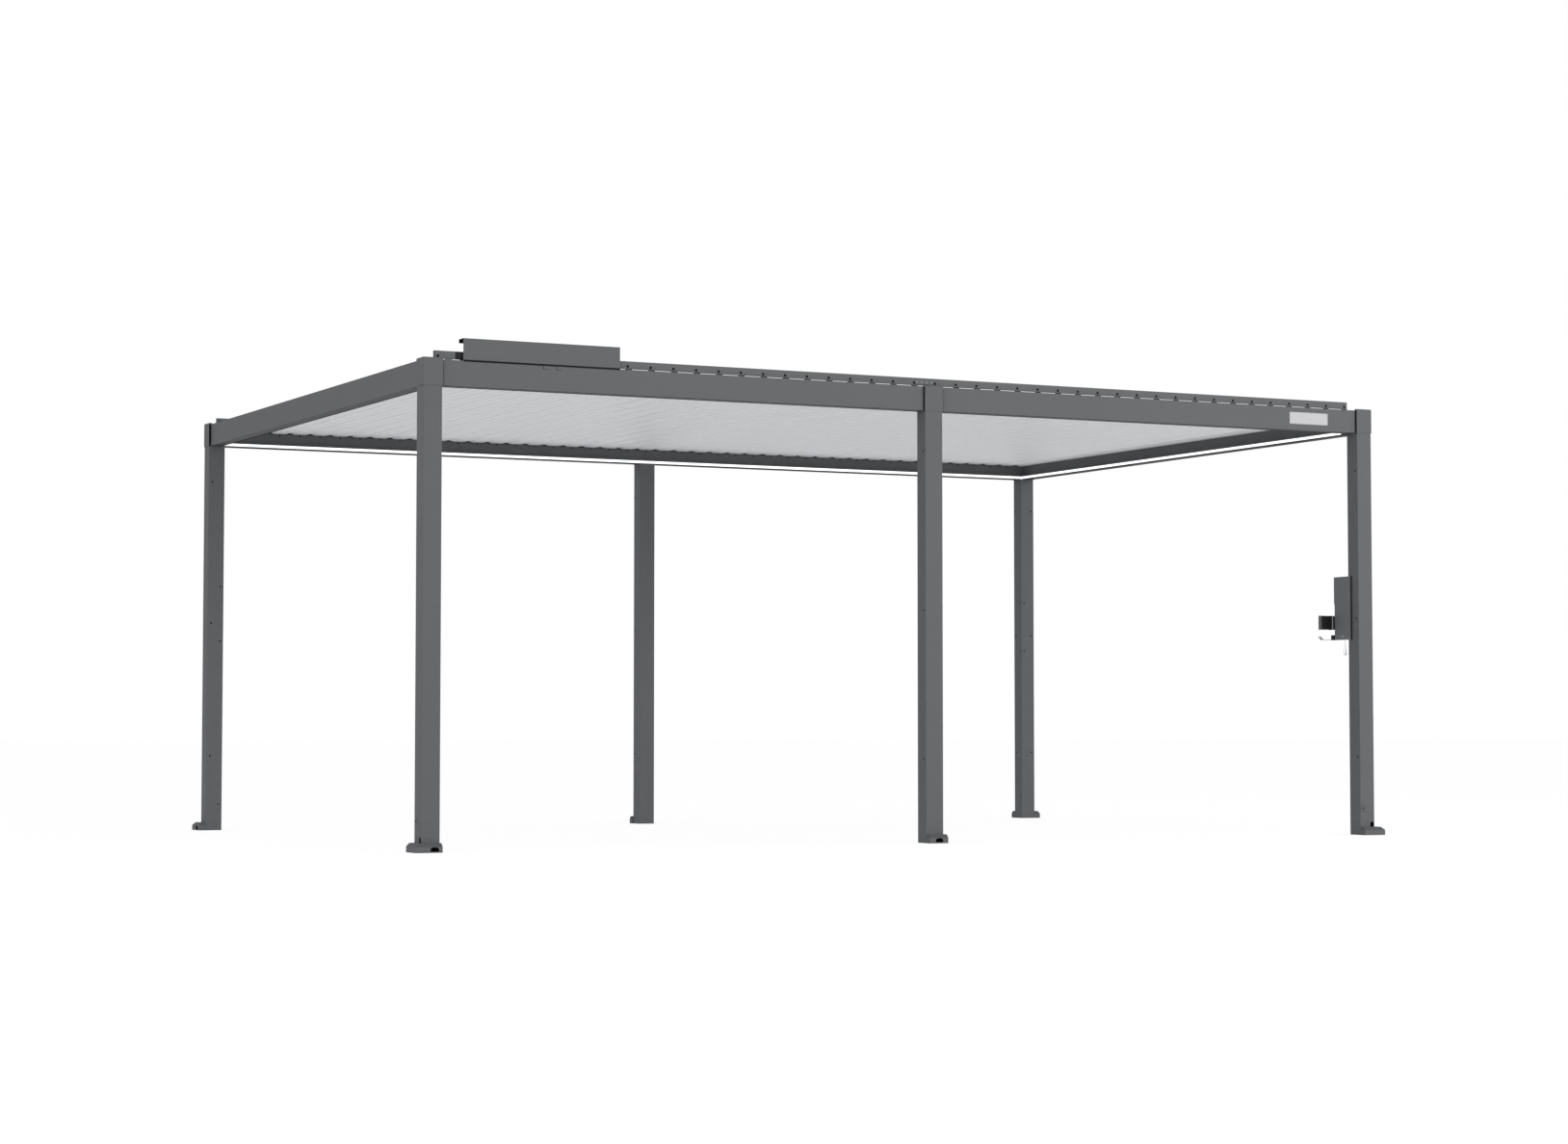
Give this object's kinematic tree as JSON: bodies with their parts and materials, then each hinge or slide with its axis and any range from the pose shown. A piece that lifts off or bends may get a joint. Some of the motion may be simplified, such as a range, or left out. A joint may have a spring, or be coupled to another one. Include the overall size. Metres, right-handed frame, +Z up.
{
  "type": "louvered pergola",
  "caption": "Free-standing pergola of box posts and gutter beams with light strips, under a roof of linked blades that a covered drive tilts open and shut.",
  "frame": {"origin": "on the ground under the middle of the frame", "axes": "+X along the length to the right, +Y from the front to the back, +Z up"},
  "size_m": [6.018, 4.044, 2.62],
  "materials": {
    "frame_paint": "fine-textured dark grey powder coat",
    "rail_paint": "grey powder coat",
    "louver_paint": "smooth off-white powder coat",
    "light_diffuser": "opal diffuser, lit",
    "black_plastic": "moulded, satin",
    "motor_casing": "satin",
    "plate_metal": "brushed",
    "box_paint": "smooth satin",
    "pull_chrome": "polished"
  },
  "bodies": {
    "frame": {"corner_posts": "frame_paint", "middle_posts": "frame_paint", "post_feet": "frame_paint", "post_caps": "frame_paint", "front_beams": "frame_paint", "back_beams": "frame_paint", "side_beams": "frame_paint", "light_strips": "light_diffuser", "louver_bearings": "black_plastic", "motor_cover": "frame_paint", "drive_motor": "motor_casing", "nameplate": "plate_metal", "control_box": "box_paint", "box_console": "black_plastic", "box_pull": "pull_chrome"},
    "louver_01": {"louver_01": "louver_paint"},
    "louver_02": {"louver_02": "louver_paint"},
    "louver_03": {"louver_03": "louver_paint"},
    "louver_04": {"louver_04": "louver_paint"},
    "louver_05": {"louver_05": "louver_paint"},
    "louver_06": {"louver_06": "louver_paint"},
    "louver_07": {"louver_07": "louver_paint"},
    "louver_08": {"louver_08": "louver_paint"},
    "louver_09": {"louver_09": "louver_paint"},
    "louver_10": {"louver_10": "louver_paint"},
    "louver_11": {"louver_11": "louver_paint"},
    "louver_12": {"louver_12": "louver_paint"},
    "louver_13": {"louver_13": "louver_paint"},
    "louver_14": {"louver_14": "louver_paint"},
    "louver_15": {"louver_15": "louver_paint"},
    "louver_16": {"louver_16": "louver_paint"},
    "louver_17": {"louver_17": "louver_paint"},
    "louver_18": {"louver_18": "louver_paint"},
    "louver_19": {"louver_19": "louver_paint"},
    "louver_20": {"louver_20": "louver_paint"},
    "louver_21": {"louver_21": "louver_paint"},
    "louver_22": {"louver_22": "louver_paint"},
    "louver_23": {"louver_23": "louver_paint"},
    "louver_24": {"louver_24": "louver_paint"},
    "louver_25": {"louver_25": "louver_paint"},
    "louver_26": {"louver_26": "louver_paint"},
    "louver_27": {"louver_27": "louver_paint"},
    "louver_28": {"louver_28": "louver_paint"},
    "louver_29": {"louver_29": "louver_paint"},
    "louver_30": {"louver_30": "louver_paint"},
    "louver_31": {"louver_31": "louver_paint"},
    "louver_32": {"louver_32": "louver_paint"},
    "louver_33": {"louver_33": "louver_paint"},
    "louver_34": {"louver_34": "louver_paint"},
    "louver_35": {"louver_35": "louver_paint"},
    "louver_36": {"louver_36": "louver_paint"},
    "louver_37": {"louver_37": "louver_paint"},
    "louver_38": {"louver_38": "louver_paint"},
    "louver_39": {"louver_39": "louver_paint"},
    "louver_40": {"louver_40": "louver_paint"},
    "louver_41": {"louver_41": "louver_paint"},
    "louver_42": {"louver_42": "louver_paint"},
    "louver_43": {"louver_43": "louver_paint"},
    "louver_44": {"louver_44": "louver_paint"},
    "link_rails": {"link_rails": "rail_paint"}
  },
  "joints": [
    {"name": "louver_22_pivot", "type": "hinge", "parent": "frame", "child": "louver_22", "pos_m": [-0.06595, 0, 2.478], "axis": [0, 1, 0], "range_deg": [0, 90]},
    {"name": "louver_01_pivot", "type": "hinge", "parent": "frame", "child": "louver_01", "pos_m": [-2.83585, 0, 2.478], "axis": [0, 1, 0], "range_deg": [0, 90]},
    {"name": "louver_02_pivot", "type": "hinge", "parent": "frame", "child": "louver_02", "pos_m": [-2.70395, 0, 2.478], "axis": [0, 1, 0], "range_deg": [0, 90]},
    {"name": "louver_03_pivot", "type": "hinge", "parent": "frame", "child": "louver_03", "pos_m": [-2.57205, 0, 2.478], "axis": [0, 1, 0], "range_deg": [0, 90]},
    {"name": "louver_04_pivot", "type": "hinge", "parent": "frame", "child": "louver_04", "pos_m": [-2.44015, 0, 2.478], "axis": [0, 1, 0], "range_deg": [0, 90]},
    {"name": "louver_05_pivot", "type": "hinge", "parent": "frame", "child": "louver_05", "pos_m": [-2.30825, 0, 2.478], "axis": [0, 1, 0], "range_deg": [0, 90]},
    {"name": "louver_06_pivot", "type": "hinge", "parent": "frame", "child": "louver_06", "pos_m": [-2.17635, 0, 2.478], "axis": [0, 1, 0], "range_deg": [0, 90]},
    {"name": "louver_07_pivot", "type": "hinge", "parent": "frame", "child": "louver_07", "pos_m": [-2.04445, 0, 2.478], "axis": [0, 1, 0], "range_deg": [0, 90]},
    {"name": "louver_08_pivot", "type": "hinge", "parent": "frame", "child": "louver_08", "pos_m": [-1.91255, 0, 2.478], "axis": [0, 1, 0], "range_deg": [0, 90]},
    {"name": "louver_09_pivot", "type": "hinge", "parent": "frame", "child": "louver_09", "pos_m": [-1.78065, 0, 2.478], "axis": [0, 1, 0], "range_deg": [0, 90]},
    {"name": "louver_10_pivot", "type": "hinge", "parent": "frame", "child": "louver_10", "pos_m": [-1.64875, 0, 2.478], "axis": [0, 1, 0], "range_deg": [0, 90]},
    {"name": "louver_11_pivot", "type": "hinge", "parent": "frame", "child": "louver_11", "pos_m": [-1.51685, 0, 2.478], "axis": [0, 1, 0], "range_deg": [0, 90]},
    {"name": "louver_12_pivot", "type": "hinge", "parent": "frame", "child": "louver_12", "pos_m": [-1.38495, 0, 2.478], "axis": [0, 1, 0], "range_deg": [0, 90]},
    {"name": "louver_13_pivot", "type": "hinge", "parent": "frame", "child": "louver_13", "pos_m": [-1.25305, 0, 2.478], "axis": [0, 1, 0], "range_deg": [0, 90]},
    {"name": "louver_14_pivot", "type": "hinge", "parent": "frame", "child": "louver_14", "pos_m": [-1.12115, 0, 2.478], "axis": [0, 1, 0], "range_deg": [0, 90]},
    {"name": "louver_15_pivot", "type": "hinge", "parent": "frame", "child": "louver_15", "pos_m": [-0.98925, 0, 2.478], "axis": [0, 1, 0], "range_deg": [0, 90]},
    {"name": "louver_16_pivot", "type": "hinge", "parent": "frame", "child": "louver_16", "pos_m": [-0.85735, 0, 2.478], "axis": [0, 1, 0], "range_deg": [0, 90]},
    {"name": "louver_17_pivot", "type": "hinge", "parent": "frame", "child": "louver_17", "pos_m": [-0.72545, 0, 2.478], "axis": [0, 1, 0], "range_deg": [0, 90]},
    {"name": "louver_18_pivot", "type": "hinge", "parent": "frame", "child": "louver_18", "pos_m": [-0.59355, 0, 2.478], "axis": [0, 1, 0], "range_deg": [0, 90]},
    {"name": "louver_19_pivot", "type": "hinge", "parent": "frame", "child": "louver_19", "pos_m": [-0.46165, 0, 2.478], "axis": [0, 1, 0], "range_deg": [0, 90]},
    {"name": "louver_20_pivot", "type": "hinge", "parent": "frame", "child": "louver_20", "pos_m": [-0.32975, 0, 2.478], "axis": [0, 1, 0], "range_deg": [0, 90]},
    {"name": "louver_21_pivot", "type": "hinge", "parent": "frame", "child": "louver_21", "pos_m": [-0.19785, 0, 2.478], "axis": [0, 1, 0], "range_deg": [0, 90]},
    {"name": "louver_23_pivot", "type": "hinge", "parent": "frame", "child": "louver_23", "pos_m": [0.06595, 0, 2.478], "axis": [0, 1, 0], "range_deg": [0, 90]},
    {"name": "louver_24_pivot", "type": "hinge", "parent": "frame", "child": "louver_24", "pos_m": [0.19785, 0, 2.478], "axis": [0, 1, 0], "range_deg": [0, 90]},
    {"name": "louver_25_pivot", "type": "hinge", "parent": "frame", "child": "louver_25", "pos_m": [0.32975, 0, 2.478], "axis": [0, 1, 0], "range_deg": [0, 90]},
    {"name": "louver_26_pivot", "type": "hinge", "parent": "frame", "child": "louver_26", "pos_m": [0.46165, 0, 2.478], "axis": [0, 1, 0], "range_deg": [0, 90]},
    {"name": "louver_27_pivot", "type": "hinge", "parent": "frame", "child": "louver_27", "pos_m": [0.59355, 0, 2.478], "axis": [0, 1, 0], "range_deg": [0, 90]},
    {"name": "louver_28_pivot", "type": "hinge", "parent": "frame", "child": "louver_28", "pos_m": [0.72545, 0, 2.478], "axis": [0, 1, 0], "range_deg": [0, 90]},
    {"name": "louver_29_pivot", "type": "hinge", "parent": "frame", "child": "louver_29", "pos_m": [0.85735, 0, 2.478], "axis": [0, 1, 0], "range_deg": [0, 90]},
    {"name": "louver_30_pivot", "type": "hinge", "parent": "frame", "child": "louver_30", "pos_m": [0.98925, 0, 2.478], "axis": [0, 1, 0], "range_deg": [0, 90]},
    {"name": "louver_31_pivot", "type": "hinge", "parent": "frame", "child": "louver_31", "pos_m": [1.12115, 0, 2.478], "axis": [0, 1, 0], "range_deg": [0, 90]},
    {"name": "louver_32_pivot", "type": "hinge", "parent": "frame", "child": "louver_32", "pos_m": [1.25305, 0, 2.478], "axis": [0, 1, 0], "range_deg": [0, 90]},
    {"name": "louver_33_pivot", "type": "hinge", "parent": "frame", "child": "louver_33", "pos_m": [1.38495, 0, 2.478], "axis": [0, 1, 0], "range_deg": [0, 90]},
    {"name": "louver_34_pivot", "type": "hinge", "parent": "frame", "child": "louver_34", "pos_m": [1.51685, 0, 2.478], "axis": [0, 1, 0], "range_deg": [0, 90]},
    {"name": "louver_35_pivot", "type": "hinge", "parent": "frame", "child": "louver_35", "pos_m": [1.64875, 0, 2.478], "axis": [0, 1, 0], "range_deg": [0, 90]},
    {"name": "louver_36_pivot", "type": "hinge", "parent": "frame", "child": "louver_36", "pos_m": [1.78065, 0, 2.478], "axis": [0, 1, 0], "range_deg": [0, 90]},
    {"name": "louver_37_pivot", "type": "hinge", "parent": "frame", "child": "louver_37", "pos_m": [1.91255, 0, 2.478], "axis": [0, 1, 0], "range_deg": [0, 90]},
    {"name": "louver_38_pivot", "type": "hinge", "parent": "frame", "child": "louver_38", "pos_m": [2.04445, 0, 2.478], "axis": [0, 1, 0], "range_deg": [0, 90]},
    {"name": "louver_39_pivot", "type": "hinge", "parent": "frame", "child": "louver_39", "pos_m": [2.17635, 0, 2.478], "axis": [0, 1, 0], "range_deg": [0, 90]},
    {"name": "louver_40_pivot", "type": "hinge", "parent": "frame", "child": "louver_40", "pos_m": [2.30825, 0, 2.478], "axis": [0, 1, 0], "range_deg": [0, 90]},
    {"name": "louver_41_pivot", "type": "hinge", "parent": "frame", "child": "louver_41", "pos_m": [2.44015, 0, 2.478], "axis": [0, 1, 0], "range_deg": [0, 90]},
    {"name": "louver_42_pivot", "type": "hinge", "parent": "frame", "child": "louver_42", "pos_m": [2.57205, 0, 2.478], "axis": [0, 1, 0], "range_deg": [0, 90]},
    {"name": "louver_43_pivot", "type": "hinge", "parent": "frame", "child": "louver_43", "pos_m": [2.70395, 0, 2.478], "axis": [0, 1, 0], "range_deg": [0, 90]},
    {"name": "louver_44_pivot", "type": "hinge", "parent": "frame", "child": "louver_44", "pos_m": [2.83585, 0, 2.478], "axis": [0, 1, 0], "range_deg": [0, 90]},
    {"name": "link_rails_pivot", "type": "hinge", "parent": "louver_22", "child": "link_rails", "pos_m": [-0.11095, 0, 2.523], "axis": [0, 1, 0], "range_deg": [-90, 0]}
  ],
  "couplings": [
    {"joint": "louver_01_pivot", "follows": "louver_22_pivot", "ratio": 1},
    {"joint": "louver_02_pivot", "follows": "louver_22_pivot", "ratio": 1},
    {"joint": "louver_03_pivot", "follows": "louver_22_pivot", "ratio": 1},
    {"joint": "louver_04_pivot", "follows": "louver_22_pivot", "ratio": 1},
    {"joint": "louver_05_pivot", "follows": "louver_22_pivot", "ratio": 1},
    {"joint": "louver_06_pivot", "follows": "louver_22_pivot", "ratio": 1},
    {"joint": "louver_07_pivot", "follows": "louver_22_pivot", "ratio": 1},
    {"joint": "louver_08_pivot", "follows": "louver_22_pivot", "ratio": 1},
    {"joint": "louver_09_pivot", "follows": "louver_22_pivot", "ratio": 1},
    {"joint": "louver_10_pivot", "follows": "louver_22_pivot", "ratio": 1},
    {"joint": "louver_11_pivot", "follows": "louver_22_pivot", "ratio": 1},
    {"joint": "louver_12_pivot", "follows": "louver_22_pivot", "ratio": 1},
    {"joint": "louver_13_pivot", "follows": "louver_22_pivot", "ratio": 1},
    {"joint": "louver_14_pivot", "follows": "louver_22_pivot", "ratio": 1},
    {"joint": "louver_15_pivot", "follows": "louver_22_pivot", "ratio": 1},
    {"joint": "louver_16_pivot", "follows": "louver_22_pivot", "ratio": 1},
    {"joint": "louver_17_pivot", "follows": "louver_22_pivot", "ratio": 1},
    {"joint": "louver_18_pivot", "follows": "louver_22_pivot", "ratio": 1},
    {"joint": "louver_19_pivot", "follows": "louver_22_pivot", "ratio": 1},
    {"joint": "louver_20_pivot", "follows": "louver_22_pivot", "ratio": 1},
    {"joint": "louver_21_pivot", "follows": "louver_22_pivot", "ratio": 1},
    {"joint": "louver_23_pivot", "follows": "louver_22_pivot", "ratio": 1},
    {"joint": "louver_24_pivot", "follows": "louver_22_pivot", "ratio": 1},
    {"joint": "louver_25_pivot", "follows": "louver_22_pivot", "ratio": 1},
    {"joint": "louver_26_pivot", "follows": "louver_22_pivot", "ratio": 1},
    {"joint": "louver_27_pivot", "follows": "louver_22_pivot", "ratio": 1},
    {"joint": "louver_28_pivot", "follows": "louver_22_pivot", "ratio": 1},
    {"joint": "louver_29_pivot", "follows": "louver_22_pivot", "ratio": 1},
    {"joint": "louver_30_pivot", "follows": "louver_22_pivot", "ratio": 1},
    {"joint": "louver_31_pivot", "follows": "louver_22_pivot", "ratio": 1},
    {"joint": "louver_32_pivot", "follows": "louver_22_pivot", "ratio": 1},
    {"joint": "louver_33_pivot", "follows": "louver_22_pivot", "ratio": 1},
    {"joint": "louver_34_pivot", "follows": "louver_22_pivot", "ratio": 1},
    {"joint": "louver_35_pivot", "follows": "louver_22_pivot", "ratio": 1},
    {"joint": "louver_36_pivot", "follows": "louver_22_pivot", "ratio": 1},
    {"joint": "louver_37_pivot", "follows": "louver_22_pivot", "ratio": 1},
    {"joint": "louver_38_pivot", "follows": "louver_22_pivot", "ratio": 1},
    {"joint": "louver_39_pivot", "follows": "louver_22_pivot", "ratio": 1},
    {"joint": "louver_40_pivot", "follows": "louver_22_pivot", "ratio": 1},
    {"joint": "louver_41_pivot", "follows": "louver_22_pivot", "ratio": 1},
    {"joint": "louver_42_pivot", "follows": "louver_22_pivot", "ratio": 1},
    {"joint": "louver_43_pivot", "follows": "louver_22_pivot", "ratio": 1},
    {"joint": "louver_44_pivot", "follows": "louver_22_pivot", "ratio": 1},
    {"joint": "link_rails_pivot", "follows": "louver_22_pivot", "ratio": -1}
  ]
}
